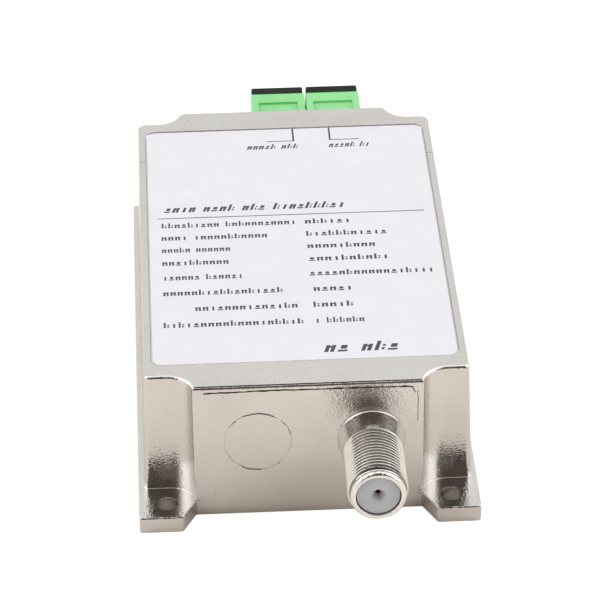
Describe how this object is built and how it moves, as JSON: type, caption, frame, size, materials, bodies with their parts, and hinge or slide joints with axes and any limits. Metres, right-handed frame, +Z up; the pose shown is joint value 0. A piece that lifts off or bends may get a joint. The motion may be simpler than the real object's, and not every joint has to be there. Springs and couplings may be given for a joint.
{
  "type": "optical receiver module",
  "caption": "Die-cast optical to RF converter with screw ears, a threaded coaxial port in front and capped SC/APC fibre ports behind.",
  "frame": {"origin": "under the middle of the case, on the plane of its base", "axes": "+Z up through the label, +Y towards the fibre ports, the coaxial port points along -Y"},
  "size_m": [0.0542, 0.1206, 0.0241],
  "materials": {
    "nickel_plate": "bright nickel plate over a die casting",
    "connector_plate": "bright nickel plate over turned brass",
    "steel": "plain",
    "brass": "turned",
    "gold_plate": "thin gold plate",
    "label_film": "satin printed film",
    "green_plastic": "moulded, satin",
    "black_plastic": "moulded, satin",
    "ivory_plastic": "moulded",
    "insulator_plastic": "milky translucent",
    "zirconia": "polished ceramic",
    "circuit_board": "solder mask",
    "ferrite": "sintered",
    "enamelled_copper": "enamelled wire",
    "chip_ceramic": "sintered",
    "fibre_buffer": "extruded",
    "foam": "open cell"
  },
  "bodies": {
    "case": {"case_body": "nickel_plate", "base_cover": "steel", "cover_screw_1": "steel", "cover_screw_2": "steel", "cover_screw_3": "steel", "cover_screw_4": "steel", "top_label": "label_film", "f_port_shell": "connector_plate", "f_port_insulator": "insulator_plastic", "f_port_contact": "gold_plate", "f_port_nut": "brass", "sc_out_housing_outer": "green_plastic", "sc_out_housing_inner": "green_plastic", "sc_out_latch_holder": "ivory_plastic", "sc_out_sleeve": "zirconia", "sc_out_clip": "steel", "sc_out_plug_housing": "green_plastic", "sc_out_plug_ferrule": "zirconia", "sc_out_plug_boot": "green_plastic", "sc_in_housing_outer": "green_plastic", "sc_in_housing_inner": "green_plastic", "sc_in_latch_holder": "ivory_plastic", "sc_in_sleeve": "zirconia", "sc_in_clip": "steel", "sc_in_plug_housing": "green_plastic", "sc_in_plug_ferrule": "zirconia", "sc_in_plug_boot": "green_plastic", "circuit_board": "circuit_board", "board_screw_1": "steel", "board_screw_2": "steel", "board_screw_3": "steel", "rf_transformer_core": "ferrite", "rf_transformer_winding": "enamelled_copper", "matching_inductor": "ferrite", "output_capacitor": "chip_ceramic", "bypass_capacitor": "chip_ceramic", "load_resistor": "black_plastic", "photodiode_can": "gold_plate", "photodiode_coupler": "steel", "photodiode_boot": "black_plastic", "wdm_filter_tube": "steel", "wdm_filter_boot_front": "black_plastic", "wdm_filter_boot_back": "black_plastic", "filter_foam_pad": "foam", "fibre_input": "fibre_buffer", "fibre_output": "fibre_buffer", "fibre_photodiode": "fibre_buffer"},
    "dust_cap_out": {"dust_cap_out": "black_plastic"},
    "dust_cap_in": {"dust_cap_in": "black_plastic"}
  },
  "joints": [
    {"name": "dust_cap_out_pull", "type": "slide", "parent": "case", "child": "dust_cap_out", "axis": [0, 1, 0], "range_m": [0, 0.02]},
    {"name": "dust_cap_in_pull", "type": "slide", "parent": "case", "child": "dust_cap_in", "axis": [0, 1, 0], "range_m": [0, 0.02]}
  ]
}
